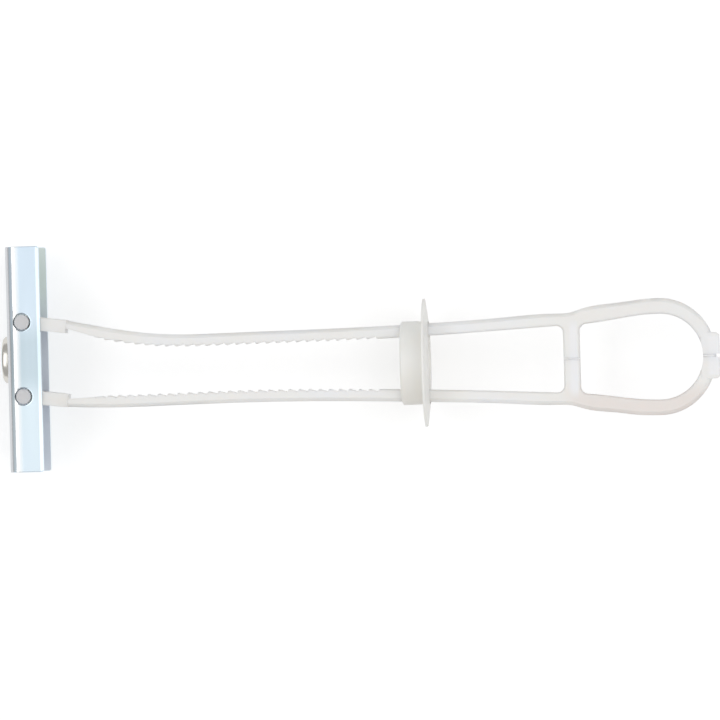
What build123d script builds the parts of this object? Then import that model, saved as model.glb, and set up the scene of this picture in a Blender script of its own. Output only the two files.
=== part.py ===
from build123d import *
import os

# Strap toggle anchor for a 3/4 inch hole in a hollow wall, all lengths in millimetres.
# Origin: centre of the threaded hole, on the inner face of the channel's web.
# +X runs from the channel along the straps to the handle, +Y along the channel, +Z along the hinge pins.

# Channel: zinc plated steel, pressed from strip, with its thread in a collar drawn out of the web
sheet = 1.8
channel_length = 50.8
channel_width = 16.5
channel_depth = 7.7
bend_radius = 0.6
end_corner_radius = 0.5
thread_minor_radius = 3.97
collar_outer_radius = 5.3
collar_height = 1.5
collar_edge_chamfer = 0.45
thread_lead_in = 0.3

# Hinge: pins moulded on the strap ends turn in holes through both flanges
hinge_spacing = 16.7
hinge_to_web = 1.8
pin_radius = 1.65
pin_hole_clearance = 0.3
pin_below_flange = 0.15

# Strap ends: flat blocks between the flanges
head_thickness = 3.0
head_length = 9.4
head_side_clearance = 0.25
head_taper_start = 4.6
head_end_height = 5.8

# Straps: flat bands with saw teeth on the faces that look at each other
strap_thickness = 2.8
strap_height = 5.4
band_points = 9
edge_chamfer = 0.85
inner_edge_chamfer = 0.5
tooth_pitch = 2.27
tooth_depth = 0.62
tooth_rise = 0.42
crest_flat = 0.03
first_tooth_x = 13.6
last_tooth_x = 86.0
neck_relief = 0.95
neck_length = 10.5

# Lie of the straps: their common axis stands a little to one side of the channel's centre
strap_axis_y = -3.1
settle_x = 24.0
right_settle_offset = 7.55
left_settle_offset = 6.85
waist_x = 48.0
waist_offset = 6.5
head_end_lean = 1.2
cap_offset = 7.3
crossbar_x = 124.9
crossbar_offset = 9.05

# Handle: a ring in two halves, one on each strap, that meet at the crossbar and at the tip
crossbar_width = 3.7
ring_bar = 3.5
ring_tip_bar = 3.0
ring_radius = 11.4
ring_centre_x = 144.7
shoulder_x = 127.3
shoulder_offset = 11.2
cheek_x = 135.0
cheek_offset = 12.3
meeting_gap = 0.1
overrun_angle = 12
inner_corner_radius = 1.6
lug_length = 5.2
lug_reach = 0.75
lug_gap = 0.7
lug_depth = 4.2
lug_height = 5.6
lug_round = 1.0

# Cap: a flanged collar that slides along both straps and plugs the hole in the wall
cap_x = 86.6
barrel_radius = 9.4
barrel_length = 5.1
flange_radius = 14.45
flange_root_thickness = 1.15
flange_rim_thickness = 0.5
bolt_bore_radius = 5.3
slot_side_clearance = 0.15
slot_outer_radius = 9.2
flange_slot_relief = 0.15
barrel_lead_in = 0.35

os.makedirs("parts", exist_ok=True)

hinge_half = hinge_spacing / 2
web_outer_x = -sheet
flange_outer_z = channel_width / 2
flange_inner_z = flange_outer_z - sheet

# Channel section, drawn across its length and extruded to both sides
with BuildPart() as channel:
    with BuildSketch(Plane.XZ):
        with Locations((web_outer_x, 0)):
            Rectangle(channel_depth, channel_width, align=(Align.MIN, Align.CENTER))
        with Locations((0, 0)):
            hollow_height = 2 * flange_inner_z
            Rectangle(channel_depth, hollow_height, align=(Align.MIN, Align.CENTER), mode=Mode.SUBTRACT)
    extrude(amount=channel_length / 2, both=True)
    along = channel.edges().filter_by(Axis.Y)
    fillet(along.group_by(Axis.X)[0], bend_radius + sheet)
    inner_bends = channel.edges().filter_by(Axis.Y).filter_by_position(Axis.X, -0.01, 0.01)
    fillet(inner_bends, bend_radius)
    open_corners = channel.edges().filter_by(Axis.Z).group_by(Axis.X)[-1]
    fillet(open_corners, end_corner_radius)
    # collar drawn outward from the web, then bored to the thread's minor diameter
    with BuildSketch(Plane.YZ.offset(web_outer_x)):
        Circle(collar_outer_radius)
    extrude(amount=-collar_height)
    chamfer(channel.faces().sort_by(Axis.X)[0].edges(), collar_edge_chamfer)
    with BuildSketch(Plane.YZ):
        Circle(thread_minor_radius)
    extrude(amount=-(sheet + collar_height), mode=Mode.SUBTRACT)
    bore_rim = channel.edges().filter_by(GeomType.CIRCLE).group_by(Axis.X)[0].sort_by(SortBy.RADIUS)[0]
    chamfer(bore_rim, thread_lead_in)
    # two hinge holes through each flange
    for flange_plane in (Plane.XY.offset(flange_outer_z), Plane.XY.offset(-flange_outer_z).reverse()):
        with BuildSketch(flange_plane):
            with Locations((hinge_to_web, hinge_half), (hinge_to_web, -hinge_half)):
                Circle(pin_radius + pin_hole_clearance)
        extrude(amount=-(sheet + bend_radius), mode=Mode.SUBTRACT)
channel.part.label = "toggle_channel"
export_step(channel.part, "parts/toggle_channel.step")


def strap_run(side, settle_offset):
    """Centreline of one strap, from its hinge pin to the crossbar."""
    head_end_x = hinge_to_web + head_length
    cap_middle_x = cap_x + barrel_length / 2
    with BuildLine():
        run = Spline(
            (hinge_to_web, side * hinge_half),
            (head_end_x, side * hinge_half - head_end_lean),
            (settle_x, strap_axis_y + side * settle_offset),
            (waist_x, strap_axis_y + side * waist_offset),
            (cap_middle_x, strap_axis_y + side * cap_offset),
            (crossbar_x, strap_axis_y + side * crossbar_offset),
        )
    return run


def beside(run, distance, inward, side):
    """Point beside the centreline, measured along it and then square to it towards the other strap."""
    place = run.position_at(distance, position_mode=PositionMode.LENGTH)
    heading = run.tangent_at(distance, position_mode=PositionMode.LENGTH)
    return place + heading.rotate(Axis.Z, -90 * side) * inward


def strap_leg(side, settle_offset):
    """One strap with its hinge pins, its teeth and its half of the handle, in a single moulding."""
    run = strap_run(side, settle_offset)
    half_thickness = strap_thickness / 2
    crest_line = half_thickness - crest_flat
    root_line = half_thickness - tooth_depth
    clear_line = half_thickness + tooth_depth
    teeth = int((last_tooth_x - first_tooth_x) / tooth_pitch)
    crests = [first_tooth_x - hinge_to_web + number * tooth_pitch for number in range(teeth + 1)]
    rack = [beside(run, head_length, root_line, side)]
    for crest in crests[:-1]:
        rack.append(beside(run, crest - tooth_rise, root_line, side))
        rack.append(beside(run, crest, crest_line, side))
    rack.append(beside(run, crests[-1], half_thickness + crest_flat, side))
    rack_back = [beside(run, crest, clear_line, side) for crest in reversed(crests)]
    rack_back.append(beside(run, head_length, clear_line, side))
    neck_end = head_length + neck_length
    neck = [
        beside(run, head_length, half_thickness - neck_relief, side),
        beside(run, head_length + neck_length / 2, half_thickness - neck_relief / 2, side),
        beside(run, neck_end, half_thickness, side),
        beside(run, neck_end, clear_line, side),
        beside(run, head_length, clear_line, side),
    ]

    head_half_height = flange_inner_z - head_side_clearance
    head_start = run @ 0
    head_finish = beside(run, head_length, 0, side)

    ring_centre = Vector(ring_centre_x, strap_axis_y)
    outer_radius = ring_radius + ring_bar / 2
    inner_radius = ring_radius - ring_bar / 2
    tip_radius = inner_radius + ring_tip_bar
    across = Vector(0, side)
    along = Vector(1, 0)
    overrun = along.rotate(Axis.Z, -overrun_angle * side)
    lug_face_x = ring_centre_x + tip_radius + lug_reach
    stations = [run.length * number / (band_points - 1) for number in range(band_points)]
    back = [beside(run, station, -half_thickness, side) for station in stations]
    back.insert(-1, beside(run, run.length - crossbar_width, -half_thickness, side))
    back.append(Vector(shoulder_x, strap_axis_y + side * shoulder_offset))
    back.append(Vector(cheek_x, strap_axis_y + side * cheek_offset))
    bar_near = beside(run, run.length - crossbar_width / 2, half_thickness, side)
    bar_far = bar_near + (run % 1) * crossbar_width
    face = [beside(run, station, half_thickness, side) for station in stations[:-1]] + [bar_near]
    bar_end_y = strap_axis_y - side * crossbar_width

    with BuildPart() as leg:
        with BuildSketch() as outline:
            with BuildLine():
                # back of the strap, running on into its half of the ring
                Spline(*back, ring_centre + across * outer_radius, tangents=[run % 0, along])
                outer_sweep = -(90 + overrun_angle) * side
                outer_arc = EllipticalCenterArc(
                    ring_centre, tip_radius, outer_radius, start_angle=90 * side, arc_size=outer_sweep
                )
                Line(outer_arc @ 1, ring_centre + overrun * inner_radius)
                CenterArc(ring_centre, inner_radius, -overrun_angle * side, (90 + overrun_angle) * side)
                Spline(ring_centre + across * inner_radius, bar_far, tangents=[-along, -(run % 1)])
                Polyline(bar_far, (bar_far.X, bar_end_y), (bar_near.X, bar_end_y), bar_near)
                Spline(*reversed(face), tangents=[-(run % 1), -(run % 0)])
                Line(face[0], back[0])
            make_face()
            bar_corners = [outline.vertices().sort_by_distance(corner)[0] for corner in (bar_near, bar_far)]
            fillet(bar_corners, inner_corner_radius)
        extrude(amount=strap_height / 2, both=True, clean=False)
        # rims eased all round, more on the back than on the toothed face
        rims = leg.edges().group_by(Axis.Z)[0] + leg.edges().group_by(Axis.Z)[-1]
        face_rims = rims.sort_by(SortBy.LENGTH)[-4:-2]
        ring_rims = rims.filter_by(GeomType.CIRCLE).sort_by(SortBy.RADIUS)
        chamfer(face_rims + ring_rims[-2:], inner_edge_chamfer)
        rims = leg.edges().group_by(Axis.Z)[0] + leg.edges().group_by(Axis.Z)[-1]
        chamfer(rims.sort_by(SortBy.LENGTH)[-2:], edge_chamfer)
        # tooth gullets, cut in the inner face in one comb, and the thin neck behind the head
        with BuildSketch():
            for cut in (rack + rack_back, neck):
                with BuildLine():
                    Polyline(*cut, close=True)
                make_face()
        extrude(amount=strap_height, both=True, mode=Mode.SUBTRACT)
        # the crossbar and the ring end just short of the other half
        with BuildSketch():
            with Locations((ring_centre_x, strap_axis_y + side * (meeting_gap / 2 - ring_centre_x))):
                Rectangle(2 * ring_centre_x, 2 * ring_centre_x)
        extrude(amount=strap_height, both=True, mode=Mode.SUBTRACT)
        # pad on the ring's tip, a little higher than the ring and as wide as its bar
        with BuildSketch() as lug:
            with Locations((lug_face_x, strap_axis_y + side * (lug_length + lug_gap / 2) / 2)):
                Rectangle(lug_depth, lug_length - lug_gap / 2, align=(Align.MAX, Align.CENTER))
            lug_corner = (lug_face_x, strap_axis_y + side * lug_length)
            fillet(lug.vertices().sort_by_distance(lug_corner)[0], lug_round)
            with Locations(ring_centre):
                Circle(inner_radius, mode=Mode.SUBTRACT)
        extrude(amount=lug_height / 2, both=True)
        # head block between the flanges, round about the pin and narrowed towards its end
        with BuildSketch():
            with BuildLine():
                Line(head_start, head_finish)
            trace(line_width=head_thickness)
            with Locations(head_start):
                Circle(head_thickness / 2)
        extrude(amount=head_half_height, both=True)
        with BuildSketch(Plane.XZ):
            for end in (1, -1):
                with BuildLine():
                    Polyline(
                        (hinge_to_web + head_taper_start, end * head_half_height),
                        (hinge_to_web + head_length, end * head_end_height / 2),
                        (hinge_to_web + 2 * head_length, end * head_end_height / 2),
                        (hinge_to_web + 2 * head_length, end * head_half_height),
                        close=True,
                    )
                make_face()
        extrude(amount=channel_length, both=True, mode=Mode.SUBTRACT)
        with BuildSketch():
            with Locations(head_start):
                Circle(pin_radius)
        extrude(amount=flange_outer_z - pin_below_flange, both=True)
    return leg.part


right = strap_leg(1, right_settle_offset)
left = strap_leg(-1, left_settle_offset)
right.label = "right_strap"
left.label = "left_strap"
export_step(right, "parts/right_strap.step")
export_step(left, "parts/left_strap.step")

# Cap: flange dished towards the wall, barrel that plugs the hole, bolt bore with a slot for each strap
flange_back_x = cap_x + barrel_length
flange_front_x = flange_back_x + flange_root_thickness
cap_axis = Plane(origin=(0, strap_axis_y, 0), x_dir=(1, 0, 0), z_dir=(0, -1, 0))
slot_half_height = strap_height / 2 + slot_side_clearance
with BuildPart() as cap:
    with BuildSketch(cap_axis):
        with BuildLine():
            Polyline(
                (cap_x, 0),
                (cap_x, barrel_radius - barrel_lead_in),
                (cap_x + barrel_lead_in, barrel_radius),
                (flange_back_x, barrel_radius),
                (flange_back_x, flange_radius),
                (flange_back_x + flange_rim_thickness, flange_radius),
                (flange_front_x, barrel_radius),
                (flange_front_x, 0),
                close=True,
            )
        make_face()
    revolve(axis=Axis((0, strap_axis_y, 0), (1, 0, 0)))
    with BuildSketch(Plane.YZ.offset(cap_x)):
        with Locations((strap_axis_y, 0)):
            Circle(bolt_bore_radius)
    extrude(amount=barrel_length + flange_root_thickness, mode=Mode.SUBTRACT)
    with BuildSketch(Plane.YZ.offset(cap_x)):
        with Locations((strap_axis_y, 0)):
            Circle(slot_outer_radius)
            Rectangle(2 * barrel_radius, 2 * slot_half_height, mode=Mode.INTERSECT)
    extrude(amount=barrel_length, mode=Mode.SUBTRACT)
    with BuildSketch(Plane.YZ.offset(flange_back_x)):
        with Locations((strap_axis_y, 0)):
            Circle(slot_outer_radius + flange_slot_relief)
            Rectangle(2 * flange_radius, 2 * slot_half_height, mode=Mode.INTERSECT)
    extrude(amount=flange_root_thickness, mode=Mode.SUBTRACT)
cap.part.label = "cap"
export_step(cap.part, "parts/cap.step")
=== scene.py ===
import math

import bmesh
import bpy
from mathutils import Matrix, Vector


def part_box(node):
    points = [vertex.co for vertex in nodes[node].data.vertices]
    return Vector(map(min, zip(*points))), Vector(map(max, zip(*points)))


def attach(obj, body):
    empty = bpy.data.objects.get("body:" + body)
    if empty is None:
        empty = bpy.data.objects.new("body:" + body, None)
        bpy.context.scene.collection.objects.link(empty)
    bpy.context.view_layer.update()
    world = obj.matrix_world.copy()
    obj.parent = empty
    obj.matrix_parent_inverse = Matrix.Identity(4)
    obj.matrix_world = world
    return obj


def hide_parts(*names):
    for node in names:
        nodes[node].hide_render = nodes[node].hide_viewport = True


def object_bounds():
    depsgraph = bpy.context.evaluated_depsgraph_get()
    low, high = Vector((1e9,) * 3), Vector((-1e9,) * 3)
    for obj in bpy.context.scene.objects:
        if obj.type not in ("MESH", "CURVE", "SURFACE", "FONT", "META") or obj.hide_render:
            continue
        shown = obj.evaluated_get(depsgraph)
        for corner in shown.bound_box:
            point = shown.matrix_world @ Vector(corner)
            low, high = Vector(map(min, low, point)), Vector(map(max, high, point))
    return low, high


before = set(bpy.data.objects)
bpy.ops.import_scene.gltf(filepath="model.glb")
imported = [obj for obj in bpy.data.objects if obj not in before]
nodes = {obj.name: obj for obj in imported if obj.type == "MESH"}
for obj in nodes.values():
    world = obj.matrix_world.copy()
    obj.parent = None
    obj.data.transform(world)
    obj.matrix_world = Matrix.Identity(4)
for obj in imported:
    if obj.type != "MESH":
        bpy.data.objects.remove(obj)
cad_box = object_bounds()

# Toggle channel: steel strip punched and pressed to a U, with the thread's collar drawn out
# of its web, then zinc plated and passivated. The pale blue plating is bright on the flat
# flanges, brown on the collar and dull inside; it is painted greyer towards the channel's
# middle, with a painted highlight along the flat beside the web's bend and painted grey
# shade in the bend itself.

channel_low, channel_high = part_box("toggle_channel")
flange_top_z = channel_high.z
edge_x = channel_high.x
roll_width = 0.0007
roll_start = 0.0001
roll_slope = 0.45
end_edge_round = 0.00022
hole_edge_round = 0.00028
sharp = 60
end_depth = 0.00048
bend_end_x = 0.0007
bend_cuts = (0.0057, 0.0110, channel_high.y - 0.0007)
hinge_holes = [Vector((0.0018, side * 0.00835, 0)) for side in (1, -1)]
hole_reach = 0.0021
hole_rim_depth = 0.0004
roll_depth = 0.0003
plating_lilac = (0.70, 0.82, 0.93)
plating_cyan = (0.78, 0.90, 0.95)
plating_blue = (0.78, 0.89, 0.97)
plating_middle_grey = (0.53, 0.64, 0.70)
# painted highlight colour beside the web's bend, and painted shade colour in the bend
bend_highlight_paint = (0.97, 0.99, 1.0)
bend_shade_paint = (0.62, 0.63, 0.65)
plating_collar = (0.66, 0.64, 0.60)
inside_green = (0.74, 0.82, 0.80)
inside_slate = (0.72, 0.77, 0.84)
inside_metal = 0.3
inside_dullness = 0.6
# where each tint begins and where it is full, along the channel (y), across it (x) and out
# from its middle plane (depth)
lilac_y = (0.022, -0.012)
middle_grey_y = (0.0105, 0.003)
highlight_near_x = (-0.0004, 0.0)
highlight_far_x = (0.0017, 0.0004)
bend_x = (-0.0004, -0.0011)
bend_depth = (0.0055, 0.0062)
collar_x = (-0.00180, -0.00186)
slate_y = (0.018, 0.004)
inside_depth = (0.0066, 0.00645)
inside_x = (-0.0012, -0.0006)


def merged_copy(node, name):
    """A node's own surface as a new piece, its loose triangles joined into flat faces."""
    bpy.ops.object.select_all(action="DESELECT")
    piece = bpy.data.objects.new(name, nodes[node].data.copy())
    bpy.context.scene.collection.objects.link(piece)
    bpy.context.view_layer.objects.active = piece
    piece.select_set(True)
    piece.data.materials.clear()
    bpy.ops.object.mode_set(mode="EDIT")
    bpy.ops.mesh.select_all(action="SELECT")
    bpy.ops.mesh.remove_doubles(threshold=2e-6)
    bpy.ops.mesh.dissolve_limited(angle_limit=math.radians(0.05))
    bpy.ops.object.mode_set(mode="OBJECT")
    return piece


def round_edges(piece, chosen, width, steps):
    """The edges that `chosen` picks by their middle point and the faces beside them, rounded over."""
    bpy.ops.object.mode_set(mode="EDIT")
    bpy.ops.mesh.select_mode(type="EDGE")
    bpy.ops.mesh.select_all(action="DESELECT")
    form = bmesh.from_edit_mesh(piece.data)
    for edge in form.edges:
        if len(edge.link_faces) == 2:
            middle = (edge.verts[0].co + edge.verts[1].co) / 2
            angle = math.degrees(edge.calc_face_angle(0))
            edge.select_set(chosen(middle, angle, [face.normal for face in edge.link_faces]))
    form.select_flush_mode()
    bmesh.update_edit_mesh(piece.data)
    bpy.ops.mesh.bevel(offset=width, segments=steps, affect="EDGES", clamp_overlap=False)
    bpy.ops.object.mode_set(mode="OBJECT")


def finish_piece(piece, body, material, smooth_angle):
    """Shading, material and body of a finished piece."""
    bpy.ops.object.select_all(action="DESELECT")
    bpy.context.view_layer.objects.active = piece
    piece.select_set(True)
    bpy.ops.object.shade_smooth_by_angle(angle=math.radians(smooth_angle))
    # flat faces keep their own shading, and the roundings beside them blend into it
    blending = piece.modifiers.new("blending", "WEIGHTED_NORMAL")
    blending.keep_sharp = True
    bpy.ops.object.modifier_apply(modifier=blending.name)
    # where a blend strays past the smoothing angle, the corner takes its own face's normal
    most = math.radians(smooth_angle)
    shading = []
    for face in piece.data.polygons:
        for corner in face.loop_indices:
            blended = piece.data.corner_normals[corner].vector.copy()
            strays = blended.angle(face.normal, math.pi) > most
            shading.append(face.normal.copy() if strays else blended)
    piece.data.normals_split_custom_set(shading)
    piece.data.materials.append(material)
    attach(piece, body)


def new_group(name, inputs, outputs):
    """A shader node group with named sockets, and its input and output nodes."""
    group = bpy.data.node_groups.new(name, "ShaderNodeTree")
    for socket, kind in inputs:
        group.interface.new_socket(name=socket, in_out="INPUT", socket_type="NodeSocket" + kind)
    for socket, kind in outputs:
        group.interface.new_socket(name=socket, in_out="OUTPUT", socket_type="NodeSocket" + kind)
    return group, group.nodes.new("NodeGroupInput"), group.nodes.new("NodeGroupOutput")


def place_group(tree, group, **values):
    """One of those groups in a material, reading the piece's own coordinates."""
    node = tree.nodes.new("ShaderNodeGroup")
    node.node_tree = group
    place = tree.nodes.new("ShaderNodeTexCoord")
    tree.links.new(place.outputs["Object"], node.inputs["Place"])
    for socket, value in values.items():
        node.inputs[socket.capitalize()].default_value = value
    return node


def new_material(name, colour, roughness, metallic):
    """A material with its Principled shader set to plain values."""
    material = bpy.data.materials.new(name)
    material.use_nodes = True
    shader = material.node_tree.nodes["Principled BSDF"]
    shader.inputs["Base Color"].default_value = (*colour, 1)
    shader.inputs["Roughness"].default_value = roughness
    shader.inputs["Metallic"].default_value = metallic
    return material, material.node_tree, shader


def ramp(tree, value, low, high, low_out=0.0, high_out=1.0):
    """A value carried smoothly from one range to another."""
    step = tree.nodes.new("ShaderNodeMapRange")
    step.interpolation_type = "SMOOTHSTEP"
    step.inputs["From Min"].default_value = low
    step.inputs["From Max"].default_value = high
    step.inputs["To Min"].default_value = low_out
    step.inputs["To Max"].default_value = high_out
    tree.links.new(value, step.inputs["Value"])
    return step.outputs["Result"]


def mixed(tree, share, first, second):
    """Two colours, each plain or from a socket, mixed by a share."""
    mix = tree.nodes.new("ShaderNodeMix")
    mix.data_type = "RGBA"
    tree.links.new(share, mix.inputs[0])
    for socket, colour in ((mix.inputs[6], first), (mix.inputs[7], second)):
        if isinstance(colour, tuple):
            socket.default_value = (*colour, 1)
        else:
            tree.links.new(colour, socket)
    return mix.outputs[2]


def reckoned(tree, operation, first, second):
    """One arithmetic step on a socket and a socket or number."""
    step = tree.nodes.new("ShaderNodeMath")
    step.operation = operation
    tree.links.new(first, step.inputs[0])
    if isinstance(second, float):
        step.inputs[1].default_value = second
    else:
        tree.links.new(second, step.inputs[1])
    return step.outputs[0]


def both(tree, first, second):
    """The share where two masks overlap."""
    return reckoned(tree, "MULTIPLY", first, second)


def coordinates(tree):
    """The surface point's own X, Y and Z on the piece."""
    place = tree.nodes.new("ShaderNodeTexCoord")
    split = tree.nodes.new("ShaderNodeSeparateXYZ")
    tree.links.new(place.outputs["Object"], split.inputs["Vector"])
    return split.outputs


def emboss(tree, shader, height, strength, distance):
    """A height pattern pressed into the surface."""
    bump = tree.nodes.new("ShaderNodeBump")
    bump.inputs["Strength"].default_value = strength
    bump.inputs["Distance"].default_value = distance
    tree.links.new(height, bump.inputs["Height"])
    tree.links.new(bump.outputs["Normal"], shader.inputs["Normal"])


# streaks group: noise stretched along one direction, as a share, and a finer one
streaks, into, out = new_group(
    "streaks",
    (("Place", "Vector"), ("Stretch", "Vector"), ("Size", "Float"), ("Fineness", "Float")),
    (("Share", "Float"), ("Fine", "Float")),
)
stretched = streaks.nodes.new("ShaderNodeVectorMath")
stretched.operation = "MULTIPLY"
streaks.links.new(into.outputs["Place"], stretched.inputs[0])
streaks.links.new(into.outputs["Stretch"], stretched.inputs[1])
for output, scale, detail in (("Share", "Size", 2), ("Fine", "Fineness", 3)):
    noise = streaks.nodes.new("ShaderNodeTexNoise")
    noise.inputs["Detail"].default_value = detail
    streaks.links.new(stretched.outputs["Vector"], noise.inputs["Vector"])
    streaks.links.new(into.outputs[scale], noise.inputs["Scale"])
    streaks.links.new(ramp(streaks, noise.outputs["Fac"], 0.3, 0.7), out.inputs[output])

zinc, tree, shader = new_material("zinc_plate", plating_blue, 0.3, 1.0)
cloudy = place_group(tree, streaks, stretch=(1.0, 0.45, 1.0), size=95.0, fineness=210.0)
drawn_lines = place_group(tree, streaks, stretch=(1.0, 0.035, 1.0), size=900.0, fineness=2600.0)
across, down, up = coordinates(tree)
depth_in = reckoned(tree, "ABSOLUTE", up, 0.0)
flange = mixed(tree, cloudy.outputs["Share"], plating_cyan, plating_blue)
flange = mixed(tree, ramp(tree, down, *lilac_y, 0.0, 0.8), plating_lilac, flange)
# the flange painted greyer and darker towards the channel's middle
near_collar = ramp(tree, reckoned(tree, "ABSOLUTE", down, 0.0), *middle_grey_y, 0.0, 0.7)
flange = mixed(tree, near_collar, flange, plating_middle_grey)
# painted highlight: a near-white strip along the flat beside the web's bend
beside_bend = both(tree, ramp(tree, across, *highlight_near_x), ramp(tree, across, *highlight_far_x))
flange = mixed(tree, beside_bend, flange, bend_highlight_paint)
# painted shade: the bend itself painted grey, darker than the flat flange
in_bend = both(tree, ramp(tree, across, *bend_x), ramp(tree, depth_in, *bend_depth))
bend = mixed(tree, in_bend, flange, bend_shade_paint)
collar = mixed(tree, ramp(tree, across, *collar_x), bend, plating_collar)
inside = mixed(tree, ramp(tree, down, *slate_y), inside_green, inside_slate)
inside_share = both(tree, ramp(tree, depth_in, *inside_depth), ramp(tree, across, *inside_x))
tree.links.new(mixed(tree, inside_share, collar, inside), shader.inputs["Base Color"])
roughness = ramp(tree, drawn_lines.outputs["Share"], 0.0, 1.0, 0.20, 0.27)
duller = reckoned(tree, "MULTIPLY", inside_share, inside_dullness)
tree.links.new(reckoned(tree, "MAXIMUM", roughness, duller), shader.inputs["Roughness"])
tree.links.new(ramp(tree, inside_share, 0.0, 1.0, 1.0, inside_metal), shader.inputs["Metallic"])
emboss(tree, shader, drawn_lines.outputs["Fine"], 0.08, 0.00002)

channel = merged_copy("toggle_channel", "channel_plate")
# the bends are cut across beside the ends and the holes, so that each stretch shades evenly
bpy.ops.object.mode_set(mode="EDIT")
for place in bend_cuts:
    for side in (1, -1):
        bpy.ops.mesh.select_all(action="SELECT")
        bpy.ops.mesh.bisect(plane_co=(0, side * place, 0), plane_no=(0, 1, 0))
bpy.ops.object.mode_set(mode="OBJECT")


def channel_ends(middle, angle, normals):
    """Edges round both cut ends, all but the strip's open edges."""
    at_end = abs(middle.y) > channel_high.y - end_depth
    return angle > sharp and at_end and middle.x < edge_x - 0.00002


def channel_holes(middle, angle, normals):
    """Rims of the hinge holes on the outside of the flanges."""
    near = min((Vector((middle.x, middle.y, 0)) - hole).length for hole in hinge_holes)
    on_flat = middle.x > bend_end_x and abs(middle.z) > flange_top_z - hole_rim_depth
    return angle > sharp and near < hole_reach and on_flat


round_edges(channel, channel_ends, end_edge_round, 3)
round_edges(channel, channel_holes, hole_edge_round, 2)
# punching rolls the strip's outer edges over a little
bpy.ops.object.mode_set(mode="EDIT")
for step in (0, 1, 2):
    bpy.ops.mesh.select_all(action="SELECT")
    cut_x = edge_x - roll_width + roll_start * step
    bpy.ops.mesh.bisect(plane_co=(cut_x, 0, 0), plane_no=(1, 0, 0))
form = bmesh.from_edit_mesh(channel.data)
for corner in form.verts:
    into_roll = corner.co.x - edge_x + roll_width
    if into_roll > 0 and abs(corner.co.z) > flange_top_z - roll_depth:
        eased = min(into_roll, 2 * roll_start) ** 2 / (4 * roll_start)
        fall = roll_slope * (eased + max(into_roll - 2 * roll_start, 0))
        corner.co.z -= math.copysign(fall, corner.co.z)
bmesh.update_edit_mesh(channel.data)
bpy.ops.object.mode_set(mode="OBJECT")
finish_piece(channel, "channel", zinc, 32)
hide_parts("toggle_channel")

# Thread: cut in the drawn collar after plating, so its flanks are darker bare steel.
# One ridge winds through the collar from the inner face to its end.

thread_pitch = 0.0015875
collar_wall = 0.00397
ridge_depth = 0.00035
ridge_half_width = 0.0007
ridge_sunk = 0.0001
ridge_start_x = -0.0008
ridge_end_x = channel_low.x + 0.0008
thread_turns = (ridge_start_x - ridge_end_x) / thread_pitch
turn_steps = 90
cut_bright = (0.52, 0.51, 0.50)
cut_dark = (0.32, 0.30, 0.28)
bare_steel, tree, shader = new_material("cut_thread", cut_bright, 0.35, 1.0)
tool_marks = place_group(tree, streaks, stretch=(1.0, 0.4, 0.4), size=700.0, fineness=2400.0)
tree.links.new(mixed(tree, tool_marks.outputs["Share"], cut_dark, cut_bright), shader.inputs["Base Color"])
emboss(tree, shader, tool_marks.outputs["Fine"], 0.15, 0.00002)
bpy.ops.object.select_all(action="DESELECT")
bpy.ops.mesh.primitive_circle_add(
    vertices=4,
    radius=ridge_half_width,
    fill_type="NGON",
    rotation=(math.pi / 2, 0, 0),
)
thread = bpy.context.object
thread.name = "collar_thread"
bpy.ops.object.transform_apply(location=True, rotation=True, scale=True)
bpy.ops.object.mode_set(mode="EDIT")
bpy.ops.mesh.select_all(action="SELECT")
bpy.ops.transform.resize(value=(1, 1, (ridge_depth + ridge_sunk) / ridge_half_width))
bpy.ops.transform.translate(value=(ridge_start_x, 0, collar_wall + ridge_sunk))
bpy.ops.object.mode_set(mode="OBJECT")
winding = thread.modifiers.new("winding", "SCREW")
winding.axis = "X"
winding.angle = 2 * math.pi * thread_turns
winding.screw_offset = -thread_pitch * thread_turns
winding.steps = turn_steps
winding.render_steps = turn_steps
bpy.ops.object.modifier_apply(modifier=winding.name)
bpy.ops.object.mode_set(mode="EDIT")
bpy.ops.mesh.select_all(action="SELECT")
bpy.ops.mesh.fill_holes(sides=4)
bpy.ops.mesh.normals_make_consistent(inside=False)
bpy.ops.object.mode_set(mode="OBJECT")
finish_piece(thread, "channel", bare_steel, 40)

# Straps: two mouldings of natural nylon, off-white and milky, each with its hinge pins,
# head block, teeth, half crossbar and half ring. The melt leaves soft streaks along the
# strap and runs warmer where it is thick; a bluish-white highlight is painted along the
# crossbar and on the pads, and the pin ends are painted grey for the shade in the holes.

strap_half_height = 0.0027
pad_half_height = 0.0028
strap_axis_y = -0.0031
head_start_x = 0.0035
head_end_x = 0.0112
crossbar_zone = (0.1215, 0.1300)
window_half_width = 0.0082
pad_outer_x = 0.1571
pad_groove = 0.0005
crossbar_round = 0.00050
pad_round = 0.0005
head_round = 0.00025
nylon_cool = (0.905, 0.91, 0.92)
nylon_plain = (0.905, 0.905, 0.885)
nylon_warm = (0.905, 0.885, 0.855)
nylon_pink = (0.865, 0.815, 0.785)
# painted highlight colour for the crossbar and pads, and painted shade colour for the pin ends
painted_highlight_white = (0.94, 0.945, 0.975)
pin_painted_shade = (0.68, 0.68, 0.69)
# where a tint begins and where it is full: along the strap (x), across from the anchor's
# middle line (off) or from zero (y), and up to the pin's end (z)
pink_x = (0.120, 0.129)
pink_y = (-0.0075, -0.0125)
bar_near_x = (0.1238, 0.1252)
bar_far_x = (0.1266, 0.1260)
bar_off = (0.0092, 0.0062)
pad_x = (0.1550, 0.1562)
pad_off = (0.0046, 0.0040)
pin_end_z = (0.0068, 0.0078)

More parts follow.
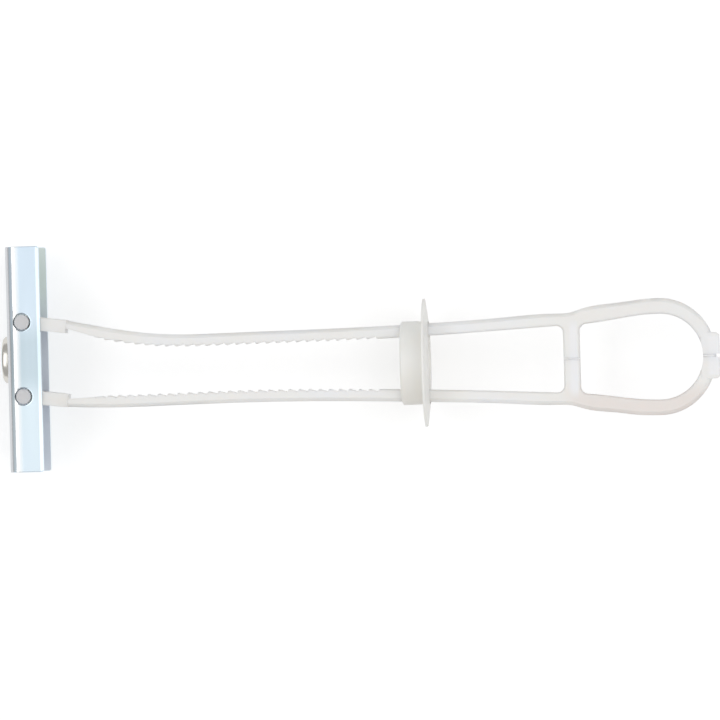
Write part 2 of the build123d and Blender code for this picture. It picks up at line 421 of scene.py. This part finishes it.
# moulding group: a tint that drifts between three, its roughness and a faint skin
moulding, into, out = new_group(
    "moulding",
    (
        ("Place", "Vector"),
        ("Cool", "Color"),
        ("Plain", "Color"),
        ("Warm", "Color"),
        ("Stretch", "Vector"),
        ("Drift", "Float"),
    ),
    (("Colour", "Color"), ("Roughness", "Float"), ("Skin", "Float")),
)
flow = moulding.nodes.new("ShaderNodeGroup")
flow.node_tree = streaks
moulding.links.new(into.outputs["Place"], flow.inputs["Place"])
moulding.links.new(into.outputs["Stretch"], flow.inputs["Stretch"])
moulding.links.new(into.outputs["Drift"], flow.inputs["Size"])
flow.inputs["Fineness"].default_value = 700.0
patches = moulding.nodes.new("ShaderNodeTexNoise")
patches.inputs["Scale"].default_value = 70.0
patches.inputs["Detail"].default_value = 1.0
moulding.links.new(into.outputs["Place"], patches.inputs["Vector"])
cool_share = ramp(moulding, patches.outputs["Fac"], 0.38, 0.62)
plain_or_cool = mixed(moulding, cool_share, into.outputs["Cool"], into.outputs["Plain"])
warm_share = reckoned(moulding, "MULTIPLY", flow.outputs["Share"], 0.8)
moulding.links.new(mixed(moulding, warm_share, plain_or_cool, into.outputs["Warm"]), out.inputs["Colour"])
moulding.links.new(ramp(moulding, flow.outputs["Fine"], 0.0, 1.0, 0.34, 0.46), out.inputs["Roughness"])
moulding.links.new(flow.outputs["Fine"], out.inputs["Skin"])

nylon, tree, shader = new_material("strap_nylon", nylon_plain, 0.4, 0.0)
shader.inputs["Subsurface Weight"].default_value = 0.6
shader.inputs["Subsurface Radius"].default_value = (1.0, 0.94, 0.88)
shader.inputs["Subsurface Scale"].default_value = 0.002
shader.inputs["Specular IOR Level"].default_value = 0.4
milk = place_group(
    tree,
    moulding,
    cool=(*nylon_cool, 1),
    plain=(*nylon_plain, 1),
    warm=(*nylon_warm, 1),
    stretch=(0.18, 1.0, 1.0),
    drift=260.0,
)
across, down, up = coordinates(tree)
far_ring = both(tree, ramp(tree, across, *pink_x), ramp(tree, down, *pink_y))
blush = mixed(tree, far_ring, milk.outputs["Colour"], nylon_pink)
# painted highlight: bluish white along the crossbar's middle and on the pads
bar_middle = both(tree, ramp(tree, across, *bar_near_x), ramp(tree, across, *bar_far_x))
off_axis = reckoned(tree, "ABSOLUTE", reckoned(tree, "SUBTRACT", down, strap_axis_y), 0.0)
on_bar = both(tree, bar_middle, ramp(tree, off_axis, *bar_off))
on_pad = both(tree, ramp(tree, across, *pad_x), ramp(tree, off_axis, *pad_off))
highlighted = mixed(tree, reckoned(tree, "MAXIMUM", on_bar, on_pad), blush, painted_highlight_white)
# painted shade: the pin ends grey where they sit down in the holes
shaded_pin_ends = ramp(tree, reckoned(tree, "ABSOLUTE", up, 0.0), *pin_end_z)
tree.links.new(mixed(tree, shaded_pin_ends, highlighted, pin_painted_shade), shader.inputs["Base Color"])
tree.links.new(milk.outputs["Roughness"], shader.inputs["Roughness"])
emboss(tree, shader, milk.outputs["Skin"], 0.1, 0.00006)


def is_level(height, level):
    """Whether a height, up or down, is that of a flat face."""
    return abs(abs(height) - level) < 0.00003


def crossbar(middle, angle, normals):
    """Edges of the crossbar's flat faces."""
    in_window = abs(middle.y - strap_axis_y) < window_half_width
    in_zone = crossbar_zone[0] < middle.x < crossbar_zone[1]
    return angle > sharp and is_level(middle.z, strap_half_height) and in_window and in_zone


def pad(middle, angle, normals):
    """Outer edges of the pad's flat faces."""
    on_flat = is_level(middle.z, pad_half_height) and middle.x > pad_outer_x
    return angle > sharp and on_flat and abs(middle.y - strap_axis_y) >= pad_groove


def head(middle, angle, normals):
    """Long edges of the head block's outer side, on its slopes and its flat faces."""
    on_outer_side = [normal.y * sign > 0.9 for normal in normals].count(True) == 1
    beyond_strap = abs(middle.z) > strap_half_height + 0.0001
    on_head = head_start_x < middle.x < head_end_x
    return angle > sharp and on_outer_side and beyond_strap and on_head


for side, sign in (("right", 1), ("left", -1)):
    strap = merged_copy(side + "_strap", side + "_leg")
    round_edges(strap, crossbar, crossbar_round, 4)
    round_edges(strap, pad, pad_round, 4)
    round_edges(strap, head, head_round, 3)
    finish_piece(strap, side + "_strap", nylon, 50)
    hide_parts(side + "_strap")

# Cap: one nylon moulding with a thin flange and a short barrel, a warmer ivory than the
# straps, a little greener at one end and browner at the other, with its edges just broken.

cap_edge_round = 0.00012
cap_rim_zone = 0.0137
cap_sharp = 30
ivory_cool = (0.95, 0.955, 0.92)
ivory_plain = (0.96, 0.95, 0.92)
ivory_warm = (0.945, 0.93, 0.89)
ivory_deep = (0.91, 0.885, 0.83)
# where the deeper ivory begins and is full along the barrel (y), and where it stops (x)
deep_y = (-0.001, -0.013)
flange_x = (0.0914, 0.0918)
ivory, tree, shader = new_material("cap_nylon", ivory_plain, 0.45, 0.0)
shader.inputs["Subsurface Weight"].default_value = 0.2
shader.inputs["Subsurface Radius"].default_value = (1.0, 0.92, 0.82)
shader.inputs["Subsurface Scale"].default_value = 0.001
shader.inputs["Specular IOR Level"].default_value = 0.4
body = place_group(
    tree,
    moulding,
    cool=(*ivory_cool, 1),
    plain=(*ivory_plain, 1),
    warm=(*ivory_warm, 1),
    stretch=(1.0, 0.6, 0.6),
    drift=180.0,
)
across, down, up = coordinates(tree)
deepened = mixed(tree, ramp(tree, down, *deep_y), body.outputs["Colour"], ivory_deep)
on_flange = ramp(tree, across, *flange_x)
tree.links.new(mixed(tree, on_flange, deepened, body.outputs["Colour"]), shader.inputs["Base Color"])
tree.links.new(body.outputs["Roughness"], shader.inputs["Roughness"])
emboss(tree, shader, body.outputs["Skin"], 0.1, 0.00006)


def cap_edges(middle, angle, normals):
    """Both rims of the flange."""
    return angle > cap_sharp and Vector((middle.y - strap_axis_y, middle.z)).length > cap_rim_zone


cap = merged_copy("cap", "flanged_cap")
round_edges(cap, cap_edges, cap_edge_round, 2)
finish_piece(cap, "cap", ivory, 35)
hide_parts("cap")

# Table under the anchor: matt white board that shows plain white to the camera, in the
# plating and through the nylon, and keeps the anchor's soft shadow.

table_size = 3
table_white = 0.78
table_glow = 0.40
table_z = cad_box[0][2] - 0.0002
bpy.ops.object.select_all(action="DESELECT")
bpy.ops.mesh.primitive_plane_add(size=table_size, location=(0.08, 0, table_z))
table = bpy.context.object
table.name = "table"
bpy.ops.object.transform_apply(location=True, rotation=True, scale=True)
table_paint, tree, shader = new_material("table_paint", (table_white,) * 3, 0.9, 0.0)
shader.inputs["Specular IOR Level"].default_value = 0.1
shader.inputs["Emission Color"].default_value = (1, 1, 1, 1)
rays = tree.nodes.new("ShaderNodeLightPath")
direct = reckoned(tree, "MAXIMUM", rays.outputs["Is Camera Ray"], rays.outputs["Is Glossy Ray"])
direct = reckoned(tree, "MAXIMUM", direct, rays.outputs["Is Transmission Ray"])
tree.links.new(reckoned(tree, "MULTIPLY", direct, table_glow), shader.inputs["Emission Strength"])
table.data.materials.append(table_paint)

# Light: a white room with three soft boxes. One stands past the web's side of the channel,
# one above the ring, and a weaker one hangs overhead.

room_light = 0.56
room = bpy.data.worlds.new("room")
bpy.context.scene.world = room
room.use_nodes = True
room.node_tree.nodes["Background"].inputs["Color"].default_value = (1, 1, 1, 1)
room.node_tree.nodes["Background"].inputs["Strength"].default_value = room_light
lit_point = Vector((0.02, 0, 0))
softboxes = (
    ("web_softbox", Vector((-0.54, 0.05, 1.05)), 0.42, 1.4, 2.6),
    ("ring_softbox", Vector((0.74, -0.05, 0.95)), 0.8, 1.4, 3.1),
    ("top_softbox", Vector((0.05, 0.1, 1.6)), 1.2, 1.2, 1.8),
)
for name, stand, width, length, watts in softboxes:
    bpy.ops.object.light_add(type="AREA", location=stand)
    softbox = bpy.context.object
    softbox.name = name
    softbox.data.shape = "RECTANGLE"
    softbox.data.size = length
    softbox.data.size_y = width
    softbox.data.energy = watts
    softbox.rotation_euler = (stand - lit_point).to_track_quat("Z", "Y").to_euler()

# Camera: it looks down on the anchor's flat side from above, leaning a few degrees towards
# the ring and turned a little about its own line of sight.

camera_roll = math.radians(-1.5)
camera_lean = math.radians(3.5)
camera_distance = 1.22
camera_aim = Vector((0.07723, -0.0021, 0))
view_half_width = 0.08108
sensor_width = 36
outward = Vector((math.cos(camera_roll), math.sin(camera_roll), 0)) * math.sin(camera_lean)
outward.z = math.cos(camera_lean)
camera_place = camera_aim + outward * camera_distance
bpy.ops.object.camera_add(location=camera_place, rotation=(0, camera_lean, camera_roll))
camera = bpy.context.object
camera.data.sensor_width = sensor_width
camera.data.lens = sensor_width / 2 * camera_distance / view_half_width
camera.data.clip_start = 0.05
bpy.context.scene.camera = camera
bpy.context.scene.view_settings.view_transform = "Standard"
